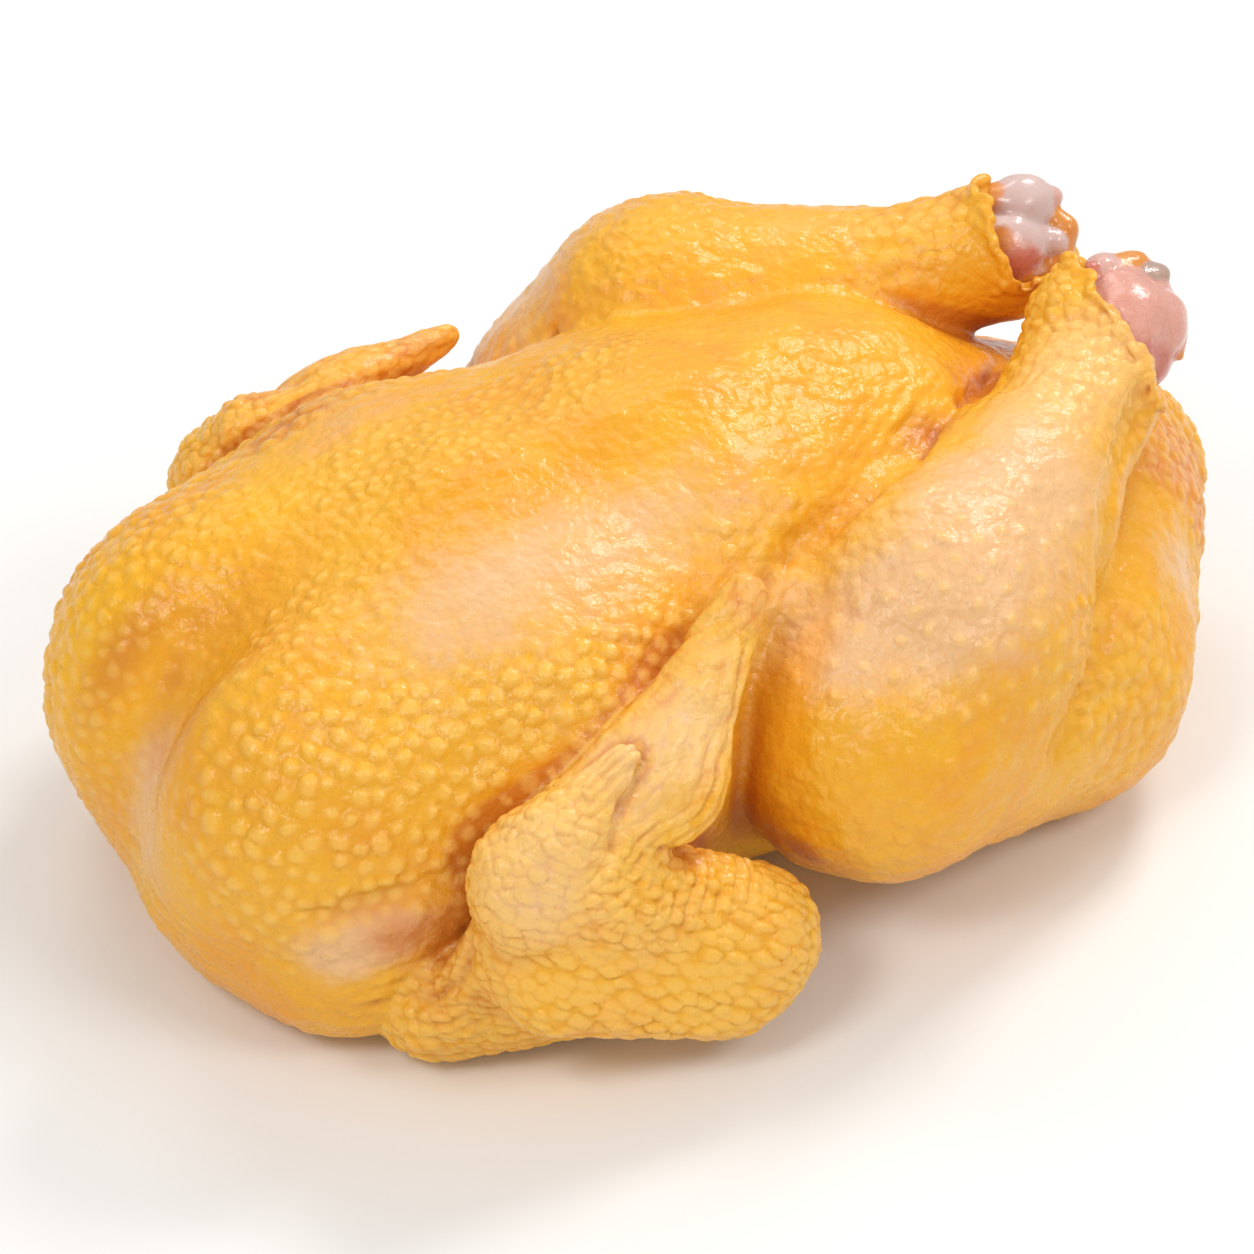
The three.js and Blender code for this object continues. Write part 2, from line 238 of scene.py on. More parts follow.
def trunk_form(p):
    """The body without limbs and rump."""
    d = meld(egg(p, *BELLY), egg(p, *BACK), 12)
    d = meld(d, meld(breast_half(p, -1), breast_half(p, 1), 44), 14)
    d = meld(d, limb(p, *KEEL), 22)
    d = meld(d, limb(p, *KEEL_END), 16)
    d = meld(d, egg(p, *TAIL_END), 20)
    d = carve(d, limb(p, *PARTING), 30)
    d = meld(d, egg(p, *NECK_END), 16)
    right, left = (egg(p, *shoulder) for shoulder in SHOULDERS)
    return meld(d, np.minimum(right, left), 7)


def leg_form(p, side):
    """A whole leg, before its skin is cut."""
    joints = LEGS[side]
    thigh = meld(bars_form(p, joints, THIGH), egg(p, *THIGH_ROOT), 30)
    calf = bars_form(p, joints, CALF)
    if side < 0:
        for (a, ra), (b, rb) in zip(LEG_FOLD, LEG_FOLD[1:]):
            calf = meld(calf, limb(p, a, b, ra, rb), 7)
    return meld(thigh, calf, 4)


def wing_form(p, side):
    """A folded wing. Its hand and forearm are flat towards face, with a web of skin up to the shoulder."""
    j = WINGS[side]
    arm = limb(p, j["shoulder"], j["elbow"], 20, 14)
    web = skin_web(p, j["wrist"], j["apex"], j["elbow"], WEB_THICK)
    fore = meld(bars_form(p, j, FOREARM, j["face"]), web, 10)
    hand = bars_form(p, j, HAND, j["face"])
    return meld(meld(fore, arm, 3), hand, 2.5)


def hock_axis(side):
    """The middle of a bared joint, and the direction in which its leg points."""
    hock = vec(*LEGS[side]["hock"])
    return hock, unit(hock - vec(*LEGS[side]["shank"]))


def torn_sleeve(p, d, side):
    """The skin ends in an open, ragged sleeve around the bared joint."""
    hock, along = hock_axis(side)
    ball = np.sqrt(((p - hock) ** 2).sum(-1)) - CUT_REACH
    near = ball < 12
    if not near.any():
        return d
    q = p[near]
    past = np.full(len(q), 1e3)
    for at, out in CUTS[side]:
        past = meld(past, (q - vec(*at)) @ unit(out), 5)
    past = past + 1.5 * waves(q / 13, 5 + side) + 0.7 * waves(q / 5, 9)
    whole = d[near]
    before, beyond, r0, r1 = SLEEVE
    room = limb(q, hock - along * before, hock + along * beyond, r0, r1)
    kept = carve(whole, np.maximum(-past, ball[near]), 1.2)
    kept = carve(kept, room, 1.5)
    lip = np.sqrt(whole ** 2 + past ** 2) - 1.1
    out_d = d.copy()
    out_d[near] = meld(kept, np.maximum(lip, ball[near]), 1.5)
    return out_d


def gully(p, line, radius):
    """The distance to a bent round bar along a line of points."""
    d = limb(p, line[0], line[1], radius * 0.4, radius)
    for a, b in zip(line[1:], line[2:]):
        d = np.minimum(d, limb(p, a, b, radius, radius))
    return d


def chicken_form(p):
    """The whole skin, with a flat spot below where it rests."""
    d = trunk_form(p)
    d = meld(d, meld(leg_form(p, -1), leg_form(p, 1), 5), 5)
    d = meld(d, egg(p, *RUMP), 4)
    for line, radius, soft in GULLIES:
        near = np.abs(p - vec(*line[len(line) // 2])).max(-1) < 50
        if near.any():
            d = d.copy()
            d[near] = carve(d[near], gully(p[near], line, radius), soft)
    for side in (-1, 1):
        d = torn_sleeve(p, d, side)
    for side in (-1, 1):
        d = meld(d, wing_form(p, side), 1.4)
    return np.maximum(d, -p[..., 2])


# From a distance form to a mesh.


def measure(form, points, batch=24000):
    """form at many points, in batches shared between the cores."""
    parts = [points[i:i + batch] for i in range(0, len(points), batch)]
    with ThreadPoolExecutor(4) as pool:
        return np.concatenate(list(pool.map(form, parts)))


def slope(form, points, step=0.4):
    """The direction out of the form at each point."""
    corners = np.array([(1, 1, 1), (1, -1, -1), (-1, 1, -1), (-1, -1, 1)], float)
    total = np.zeros_like(points)
    for c in corners:
        total += c * measure(form, points + c * step)[:, None]
    return total / np.maximum(np.linalg.norm(total, axis=1), 1e-9)[:, None]


def sampled(form, low, high, cell):
    """form on a grid of points. Far from the surface only its sign is right."""
    count = np.ceil((high - low) / cell / 4).astype(int) * 4 + 1
    axes = [low[i] + cell * np.arange(count[i]) for i in range(3)]
    rough_axes = [a[::4] for a in axes]
    rough_points = np.stack(np.meshgrid(*rough_axes, indexing="ij"), -1)
    rough = measure(form, rough_points.reshape(-1, 3)).reshape(rough_points.shape[:3])
    nearest = [np.minimum((np.arange(n) + 2) // 4, len(r) - 1) for n, r in zip(count, rough_axes)]
    grid = rough[np.ix_(*nearest)]
    close = np.argwhere(np.abs(grid) < cell * 3.6 + 3.5)
    points = low + close * cell
    grid[tuple(close.T)] = measure(form, points)
    return grid


def net(grid, low, cell):
    """Surface nets: one point in each crossed cell, and one quad around each crossed grid edge."""
    solid = grid < 0
    shape = np.array(grid.shape)
    cells = shape - 1
    total = np.zeros((*cells, 3), np.float32)
    hits = np.zeros(tuple(cells), np.int16)
    quads = []
    for axis in range(3):
        step = np.eye(3, dtype=int)[axis]
        here = solid[:shape[0] - step[0], :shape[1] - step[1], :shape[2] - step[2]]
        there = solid[step[0]:, step[1]:, step[2]:]
        at = np.argwhere(here != there)
        f0, f1 = grid[tuple(at.T)], grid[tuple((at + step).T)]
        where = at.astype(np.float32)
        where[:, axis] += f0 / (f0 - f1)
        u, v = [o for o in range(3) if o != axis]
        around = []
        for du, dv in ((0, 0), (1, 0), (1, 1), (0, 1)):
            c = at.copy()
            c[:, u] -= du
            c[:, v] -= dv
            np.add.at(total, tuple(c.T), where)
            np.add.at(hits, tuple(c.T), 1)
            around.append((c[:, 0] * cells[1] + c[:, 1]) * cells[2] + c[:, 2])
        quad = np.stack(around, 1)
        turned = (f0 > 0) if axis != 1 else (f0 <= 0)
        quad[turned] = quad[turned][:, ::-1]
        quads.append(quad)
    quads = np.concatenate(quads)
    used = np.unique(quads)
    new = np.zeros(cells.prod(), np.int64)
    new[used] = np.arange(len(used))
    points = total.reshape(-1, 3)[used] / hits.reshape(-1)[used][:, None]
    return low + points.astype(float) * cell, new[quads]


def settle(form, points, reach, turns=2):
    """Points moved onto the surface of form, each step no longer than reach."""
    for _ in range(turns):
        out = slope(form, points)
        d = np.clip(measure(form, points), -reach, reach)
        points = points - out * d[:, None]
    points[:, 2] = np.maximum(points[:, 2], 0)
    return points


def quad_mesh(name, points, quads):
    """A Blender mesh of quads."""
    mesh = bpy.data.meshes.new(name)
    mesh.vertices.add(len(points))
    mesh.vertices.foreach_set("co", points.astype(np.float32).ravel())
    mesh.loops.add(quads.size)
    mesh.loops.foreach_set("vertex_index", quads.astype(np.int32).ravel())
    mesh.polygons.add(len(quads))
    mesh.polygons.foreach_set("loop_start", np.arange(0, quads.size, 4, dtype=np.int32))
    mesh.update(calc_edges=True)
    mesh.validate()
    return mesh


def corners(mesh):
    """The points of a mesh."""
    flat = np.empty(len(mesh.vertices) * 3, np.float32)
    mesh.vertices.foreach_get("co", flat)
    return flat.reshape(-1, 3).astype(float)


def halved(mesh, wanted):
    """Halves every edge whose two ends are wanted."""
    bm = bmesh.new()
    bm.from_mesh(mesh)
    edges = [e for e in bm.edges if wanted[e.verts[0].index] and wanted[e.verts[1].index]]
    bmesh.ops.subdivide_edges(bm, edges=edges, cuts=1, use_grid_fill=True)
    bmesh.ops.triangulate(bm, faces=[f for f in bm.faces if len(f.verts) > 4])
    bm.to_mesh(mesh)
    bm.free()


def surface(name, form, low, high, cell, finer=()):
    """A mesh of the surface of form, its quads halved once for each zone test in finer."""
    low, high = vec(*low), vec(*high)
    points, quads = net(sampled(form, low, high, cell), low, cell)
    points = settle(form, points, cell * 0.6)
    mesh = quad_mesh(name, points, quads)
    for zone in finer:
        halved(mesh, zone(corners(mesh)))
        points = settle(form, corners(mesh), cell * 0.5, 1)
        mesh.vertices.foreach_set("co", points.astype(np.float32).ravel())
    return mesh, points, slope(form, points)


def finished(mesh, points, layers, material):
    """The mesh as a smooth piece in the part's frame, with one number per point for each named layer."""
    mesh.vertices.foreach_set("co", ((points - MIDDLE) * MM).astype(np.float32).ravel())
    mesh.polygons.foreach_set("use_smooth", np.ones(len(mesh.polygons), bool))
    mesh.update()
    for layer, values in layers.items():
        attribute = mesh.attributes.new(layer, "FLOAT", "POINT")
        attribute.data.foreach_set("value", np.clip(values, 0, 1).astype(np.float32))
    mesh.materials.append(material)
    piece = bpy.data.objects.new(mesh.name, mesh)
    bpy.context.scene.collection.objects.link(piece)
    return piece


# What varies over the skin.


def blob(p, centre, radii, strength=1.0):
    """A soft spot: strength at its centre, and fading out past its radii."""
    q = (p - vec(*centre)) / np.asarray(radii, float)
    return strength * np.exp(-1.4 * (q * q).sum(-1))


def blobs(p, places):
    """Many soft spots laid over each other, from 0 to 1."""
    clear = np.ones(len(p))
    for place in places:
        clear = clear * (1 - np.clip(blob(p, *place), 0, 1))
    return 1 - clear


# Thin or fatless skin, where the flesh shows through.
FLESHY = [
    ((-64, -36, 98), (40, 22, 26), 0.58), ((-20, -34, 100), (34, 18, 20), 0.4),
    ((22, -80, 91), (34, 25, 20), 0.95), ((55, -62, 98), (28, 20, 18), 0.85),
    ((-60, -84, 72), (20, 10, 14), 0.45), ((-84, -88, 60), (12, 12, 16), 0.5),
    ((-107, -67, 42), (18, 14, 9), 0.95), ((-118, -61, 36), (12, 10, 8), 0.6),
    ((-127, 0, 52), (11, 9, 18), 0.6), ((-135, -8, 40), (14, 18, 14), 0.4),
    ((102, -56, 52), (15, 14, 13), 0.7), ((-2, -68, 84), (16, 16, 16), 0.7),
    ((-60, -76, 84), (10, 12, 12), 0.5), ((-42, -80, 84), (12, 12, 14), 0.6),
    ((22, 83, 88), (34, 26, 26), 0.8), ((0, 70, 70), (24, 20, 20), 0.6),
    ((-109, 66, 40), (24, 16, 18), 0.8), ((-60, 36, 98), (30, 18, 20), 0.3),
]
# Reddened skin.
ROSY = [
    ((128, -20, 50), (14, 26, 14), 0.8), ((-18, -66, 98), (9, 9, 11), 0.9),
    ((-46, -73, 86), (12, 5, 10), 0.6), ((60, -30, 92), (30, 8, 10), 0.5),
    ((-24, 70, 88), (10, 8, 8), 0.9), ((-62, 74, 84), (8, 8, 8), 0.7),
    ((104, 0, 66), (12, 22, 14), 0.6), ((-104, -67, 41), (17, 11, 9), 0.7),
    ((-127, 0, 52), (9, 7, 15), 0.5), ((-104, -72, 24), (14, 10, 10), 0.5),
    ((96, 26, 108), (10, 10, 10), 0.4), ((121, -41, 50), (9, 12, 12), 0.7),
    ((112, -37, 66), (10, 10, 8), 0.7), ((80, -74, 66), (14, 10, 22), 0.5),
    ((124, -28, 62), (12, 14, 14), 0.9), ((-50, 72, 84), (26, 9, 14), 0.55),
    ((76, -12, 92), (20, 8, 8), 0.6), ((100, -16, 78), (14, 14, 10), 0.6),
]
# Pale, creamy skin.
CREAMY = [
    ((-82, -86, 66), (20, 16, 22), 1.0), ((-46, -80, 80), (22, 10, 18), 0.95),
    ((-30, -72, 88), (10, 8, 14), 0.5), ((86, -38, 104), (26, 18, 16), 0.8),
    ((99, -28, 98), (16, 14, 16), 0.45), ((70, -50, 104), (22, 16, 14), 0.7),
    ((-60, -97, 46), (20, 12, 16), 0.35), ((60, 42, 104), (30, 18, 12), 0.4),
]
# The yellowest skin.
LEMON = [
    ((-126, 24, 68), (24, 26, 34), 0.95), ((-90, 20, 96), (26, 16, 12), 0.5),
    ((-60, -92, 30), (30, 16, 16), 0.3),
]
# Darker orange: partly the skin's own colour where it lies doubled, partly painted shade in folds, under the
# wings' edges, in the creases between breast and legs and at the shoulders.
BROWNED_AND_SHADED = [
    ((-67, 50, 92), (22, 12, 12), 0.7), ((-24, 68, 86), (10, 8, 8), 0.5),
    ((52, -32, 95), (16, 7, 6), 0.75), ((66, -18, 94), (18, 10, 8), 0.45),
    ((-104, -67, 43), (18, 12, 9), 0.6), ((-100, -74, 26), (18, 12, 10), 0.4),
    ((54, 28, 95), (24, 9, 8), 0.5), ((-106, 8, 86), (9, 5, 7), 0.2),
    ((-114, 8.5, 80), (7, 5, 8), 0.32), ((-121, 6, 71), (7, 5, 8), 0.42),
    ((-126, 3, 61), (7, 5, 8), 0.35), ((128, -10, 48), (8, 24, 14), 0.35),
    ((86, 0, 80), (12, 16, 8), 0.35), ((-36, -64, 88), (18, 8, 10), 0.3),
    ((60, -80, 62), (8, 8, 18), 0.4), ((-58, -96, 44), (18, 10, 12), 0.35),
    ((-60, 74, 72), (22, 10, 12), 0.9), ((99, 22, 103), (7, 16, 14), 0.6),
]
# Where feather pimples stand: centre, radii, spacing, share of the spacing that each fills, and height.
PIMPLED = [
    ((-104, -56, 70), (46, 30, 36), 4.6, 0.5, 1.0), ((-60, -62, 86), (34, 12, 14), 4.4, 0.54, 1.05),
    ((-34, -66, 86), (24, 14, 16), 4.0, 0.6, 1.1), ((-116, 30, 62), (36, 34, 40), 4.4, 0.48, 0.75),
    ((-50, 12, 106), (66, 16, 14), 3.7, 0.5, 0.7), ((-96, -20, 92), (26, 16, 16), 4.8, 0.38, 0.9),
    ((40, 0, 106), (60, 24, 16), 4.0, 0.5, 0.3), ((20, 62, 104), (44, 24, 16), 4.0, 0.5, 0.45),
    ((6, -52, 90), (30, 20, 20), 4.2, 0.6, 0.5), ((30, -86, 84), (40, 30, 30), 6.4, 0.3, 0.75),
    ((98, -30, 100), (26, 24, 20), 3.3, 0.62, 0.6), ((84, -44, 90), (20, 14, 14), 3.5, 0.62, 0.6),
    ((6, -96, 58), (40, 24, 20), 4.6, 0.5, 0.35), ((120, -20, 44), (34, 44, 32), 4.2, 0.56, 0.8),
    ((70, -76, 44), (24, 18, 22), 4.4, 0.66, 0.6), ((6, 96, 58), (40, 24, 20), 4.6, 0.5, 0.35),
    ((30, 86, 84), (40, 30, 30), 6.4, 0.3, 0.4), ((92, 32, 100), (24, 20, 16), 4.4, 0.78, 0.7),
    ((-60, 62, 88), (60, 20, 20), 4.8, 0.62, 0.8), ((0, 0, 0), (110, 80, 12), 5.0, 0.5, 0.25),
]
# Where they are pressed flat.
SMOOTH = [
    ((-70, -36, 97), (30, 18, 22), 0.85), ((-107, -67, 41), (21, 14, 11), 0.95),
    ((-122, 4, 60), (12, 9, 30), 0.6), ((108, -46, 56), (13, 12, 11), 0.8),
    ((-112, 8, 80), (10, 6, 10), 0.8),
]
# Elsewhere they have this spacing, share and height. A zone takes over where it is stronger than ZONE_EDGE.
PLAIN = (5.4, 0.45, 0.24)
ZONE_EDGE = 0.12
ZONE_LEAST = 0.14
# The pimples of a wing: their spacing, share, and how much closer they stand along it than across.
WING_PIMPLES = (2.7, 0.8, 0.48)
# The slow swells of the skin: length, seed and height of each.
SWELLS = [(22, 3, 0.4), (7, 4, 0.2)]
# The relief fades out over this height above the floor, where the bird lies on its back.
RESTING = 4
# Folds: centre, radii, the direction along the lines, their spacing and depth.
FOLDED = [
    ((-4, -48, 94), (20, 12, 14), (0.5, 0.1, 0.85), 3.6, 0.4),
    ((-30, -64, 90), (20, 10, 14), (1, -0.2, 0.1), 4.4, 0.5),
    ((-103, -72, 26), (18, 12, 12), (0.9, -0.3, 0.3), 3.2, 0.9),
    ((-27, -77, 84), (9, 9, 16), (0.79, 0.07, 0.61), 2.7, 1.2),
    ((-39, -86, 71), (12, 9, 10), (0.85, -0.1, 0.5), 2.8, 1.2),
    ((-54, -91, 64), (11, 8, 7), (0.9, -0.2, 0.4), 2.8, 0.9),
    ((-19, -67, 96), (7, 8, 9), (0.7, 0.2, 0.68), 2.4, 0.7),
    ((-42, -92, 50), (26, 10, 9), (-0.7, -0.19, -0.69), 3.2, 1.0),
    ((-66, -94, 58), (14, 10, 12), (0.9, -0.3, 0.2), 3.0, 0.5),
    ((-62, -80, 78), (10, 8, 9), (0.8, 0.0, 0.6), 2.4, 0.8),
    ((-30, 88, 46), (26, 10, 10), (0.45, 0.3, -0.85), 3.2, 0.7),
    ((-24, 70, 84), (24, 10, 12), (-0.6, 0.3, 0.75), 2.8, 0.6),
    ((-103, 68, 26), (18, 12, 12), (0.9, 0.3, 0.3), 3.4, 0.7),
    ((64, -28, 92), (34, 12, 12), (0.75, 0.55, -0.3), 3.2, 0.75),
    ((30, -44, 92), (26, 8, 10), (0.8, 0.35, 0.2), 3.0, 0.5),
    ((66, 26, 94), (32, 10, 12), (0.75, -0.55, -0.3), 3.4, 0.55),
    ((34, 52, 104), (26, 16, 10), (0.75, -0.55, -0.3), 3.8, 0.35),
    ((-134, -12, 30), (14, 30, 12), (0.1, 1, 0.1), 4.4, 0.7),
    ((-98, -78, 12), (26, 18, 12), (0.9, -0.4, 0), 4.0, 0.7),
    ((104, -20, 66), (18, 22, 12), (0.2, 0.9, -0.3), 3.2, 0.5),
    ((58, -84, 62), (12, 14, 18), (0.9, -0.1, -0.4), 3.4, 0.5),
]


def fold_lines(p, out):
    """How far the folds lift the skin."""
    lift = np.zeros(len(p))
    for n, (centre, radii, way, spacing, depth) in enumerate(FOLDED):
        near = np.clip(blob(p, centre, radii, 1.5), 0, 1)
        keep = near > 0.02
        q = p[keep]
        flat = np.cross(unit(vec(*way)), unit(out[keep].mean(0)))
        bent = 1.3 * waves(q / (spacing * 5), 40 + n) + 0.5 * waves(q / (spacing * 2), 60 + n)
        phase = (q @ flat) / spacing * math.tau + bent
        broken = 0.75 + 0.35 * waves(q / (spacing * 2.5), 80 + n)
        lift[keep] += near[keep] * depth * broken * (np.abs(np.sin(phase / 2)) - 0.6) * 1.4
    return lift


# Single creases: the points along each, its width and depth.
CREASES = [
    ([(-14, -55, 84), (-3, -51, 88), (6, -48, 91), (21, -46, 95), (32, -42, 96), (49, -35, 96),
      (65, -24, 94), (86, -8, 86)], 1.9, 2.2),
    ([(-6, -48, 86), (6, -45, 89), (21, -43, 92), (32, -39, 94)], 3.0, 0.9),
    ([(26, -40, 97), (42, -31, 98), (58, -22, 97), (72, -12, 92)], 1.5, 0.9),
    ([(40, -40, 96), (55, -33, 95), (72, -20, 92), (90, -4, 85)], 1.5, 1.1),
    ([(97, -48, 93), (87, -57, 89), (79, -65, 86), (75, -71, 78), (73, -71, 65), (65, -80, 59),
      (57, -87, 54), (48, -92, 48)], 2.2, 1.4),
    ([(50, -90, 56), (61, -87, 51), (73, -83, 48), (86, -74, 46)], 1.5, 0.9),
    ([(-124, -58, 48), (-118, -62, 50.5), (-110, -65.5, 52.5), (-98, -68.5, 53.5), (-90, -71, 54)], 1.6, 1.5),
    ([(-115, -60, 18), (-99, -73, 28), (-94, -78, 38), (-90, -76, 50)], 1.8, 1.8),
    ([(-50, -78, 84), (-55, -81, 80), (-60, -84, 75), (-64, -88, 69), (-68, -92, 62)], 1.5, 1.7),
    ([(-30, -76, 46), (-44, -86, 55), (-56, -91, 62), (-66, -93, 61)], 1.5, 1.6),
    ([(-60, 73, 80), (-50, 70, 86), (-40, 66, 90)], 1.6, 1.6),
    ([(-14, 58, 84), (6, 52, 90), (30, 44, 96), (58, 26, 96), (86, 8, 86)], 1.9, 1.8),
    ([(84, 50, 95), (77, 62, 88), (67, 76, 74), (56, 88, 60)], 1.8, 1.8),
]


def creases(p):
    """How far the single creases sink the skin, and how near each point is to one."""
    sunk = np.zeros(len(p))
    near = np.zeros(len(p))
    for line, width, depth in CREASES:
        line = np.array(line, float)
        low, high = line.min(0) - width * 3, line.max(0) + width * 3
        keep = ((p > low) & (p < high)).all(1)
        q = p[keep] + 0.9 * np.stack([waves(p[keep] / 9, s) for s in (31, 32, 33)], 1)
        best = np.full(len(q), 1e9)
        for a, b in zip(line, line[1:]):
            h = np.clip(((q - a) @ (b - a)) / ((b - a) @ (b - a)), 0, 1)
            best = np.minimum(best, np.linalg.norm(q - a - h[:, None] * (b - a), axis=1))
        ends = np.minimum(np.linalg.norm(q - line[0], axis=1), np.linalg.norm(q - line[-1], axis=1))
        share = np.exp(-(best / width) ** 2) * np.clip(ends / 8, 0, 1)
        sunk[keep] = np.maximum(sunk[keep], share * depth)
        near[keep] = np.maximum(near[keep], share * min(depth / 1.8, 1))
    return sunk, near


def scattered(points, spacing, seed):
    """Indices of points that stand at least their own spacing apart."""
    order = list(range(len(points)))
    random.Random(seed).shuffle(order)
    cell = float(spacing.max())
    key = np.floor(points / cell).astype(int).tolist()
    place = points.tolist()
    gap = spacing.tolist()
    homes, kept = {}, []
    near = [(x, y, z) for x in (-1, 0, 1) for y in (-1, 0, 1) for z in (-1, 0, 1)]
    for i in order:
        kx, ky, kz = key[i]
        px, py, pz = place[i]
        reach = gap[i] ** 2
        free = True
        for x, y, z in near:
            for j in homes.get((kx + x, ky + y, kz + z), ()):
                qx, qy, qz = place[j]
                if (px - qx) ** 2 + (py - qy) ** 2 + (pz - qz) ** 2 < reach:
                    free = False
                    break
            if not free:
                break
        if free:
            homes.setdefault((kx, ky, kz), []).append(i)
            kept.append(i)
    return kept


def domes(points, spacing, fill, height, seed):
    """Low domes, one around each scattered point: their rise, and masks of their crowns and edges."""
    bend = np.stack([waves(points / (spacing[:, None] * 1.6), seed + turn) for turn in (1, 2, 3)], 1)
    points = points + bend * spacing[:, None] * 0.12
    kept = scattered(points, spacing * 0.88, seed)
    tree = kdtree.KDTree(len(kept))
    for n, i in enumerate(kept):
        tree.insert(points[i], n)
    tree.balance()
    found = [tree.find_n(co, 2) for co in points.tolist()]
    nearest = np.array([pair[0][1] for pair in found])
    far = np.array([pair[0][2] for pair in found])
    valley = 1 - np.clip((np.array([pair[1][2] for pair in found]) - far) / (spacing * 0.24), 0, 1)
    dice = np.random.default_rng(seed)
    tall = dice.uniform(0.35, 1.35, len(kept))[nearest]
    wide = dice.uniform(0.75, 1.2, len(kept))[nearest]
    crown = np.clip(1 - (far / (spacing * fill * wide)) ** 2, 0, 1)
    return height * (tall * crown ** 0.85 - 0.05 * valley), crown, valley


def pimples(points, wing):
    """Feather pimples: their rise, and masks of crowns and edges. wing is what wing_of gives."""
    strongest = np.full(len(points), ZONE_EDGE)
    spacing, fill, height = (np.full(len(points), plain) for plain in PLAIN)
    for centre, radii, gap, wide, high in PIMPLED:
        near = blob(points, centre, radii)
        won = near > strongest
        strongest[won] = near[won]
        spacing[won], fill[won] = gap, wide
        height[won] = ZONE_LEAST + (high - ZONE_LEAST) * np.minimum(near[won] * 2.6, 1)
    height = height * (1 - 0.85 * blobs(points, SMOOTH))
    rise, crown, valley = np.zeros((3, len(points)))
    body = wing == 0
    rise[body], crown[body], valley[body] = domes(points[body], spacing[body], fill[body], height[body], 7)
    valley *= np.clip(height * 1.6 - 0.2, 0, 1)
    # The crown tint, partly a painted highlight, is stronger on taller domes.
    crown *= np.clip(height * 1.1, 0.1, 1)
    gap, wide, pressing = WING_PIMPLES
    for side, j in WINGS.items():
        here = wing == side
        q = points[here]
        hand = limb(q, j["mid"], j["tip"], 12, 8) < limb(q, j["wrist"], j["elbow"], 13, 13)
        to_tip, to_elbow = (unit(vec(*j[end]) - vec(*j["wrist"])) for end in ("tip", "elbow"))
        along = np.where(hand[:, None], to_tip, to_elbow)
        pressed = q - along * ((q * along).sum(1) * pressing)[:, None]
        spacing, fill = np.full(len(q), gap), np.full(len(q), wide)
        rise[here], crown[here], edge = domes(pressed, spacing, fill, np.where(hand, 0.3, 0.95), 11 + side)
        valley[here] = edge * np.where(hand, 0.15, 0.45)
    return rise, crown, valley


def wing_of(points):
    """-1 or 1 where a point belongs to the right or left wing, and 0 elsewhere."""
    own = np.zeros(len(points), int)
    for side in (-1, 1):
        own[measure(lambda p: wing_form(p, side), points) < 0.6] = side
    return own


def fine_zone(points):
    """Where the relief is finest: the folded wings and the cut ends of the legs."""
    fine = wing_of(points) != 0
    for side in (-1, 1):
        fine |= np.linalg.norm(points - vec(*LEGS[side]["hock"]), axis=1) < 24
    return fine


def skin_layers(points, out, near):
    """One number per point for each thing that varies over the skin. near is how near it is to a crease."""
    deep = 1 - measure(chicken_form, points + out * 5) / 5
    wide = 1 - measure(chicken_form, points + out * 14) / 14
    return {
        "fleshy": blobs(points, FLESHY),
        "rosy": blobs(points, ROSY),
        "creamy": blobs(points, CREAMY),
        # Depth of hollows within 5 mm and nearness to the creases: it lays painted shade in the colour and
        # lowers the pimples there.
        "crease": np.maximum(np.clip(deep * 1.6 - 0.1, 0, 1), near * 0.9),
        "browned_and_shaded": blobs(points, BROWNED_AND_SHADED),
        "lemon": blobs(points, LEMON),
        # How hollow the skin is over 14 mm, for the painted shade of hollows.
        "shelter_shade": np.clip(wide * 1.2, 0, 1),
    }


# Shader sums and materials.


class Value:
    """A number socket that can stand in a Python sum."""

    def __init__(self, sheet, socket):
        self.sheet = sheet
        self.socket = socket

    def __add__(self, other):
        return self.sheet.sum("ADD", self, other)

    __radd__ = __add__

    def __mul__(self, other):
        return self.sheet.sum("MULTIPLY", self, other)

    __rmul__ = __mul__

    def __sub__(self, other):
        return self.sheet.sum("SUBTRACT", self, other)

    def __rsub__(self, other):
        return self.sheet.sum("SUBTRACT", other, self)


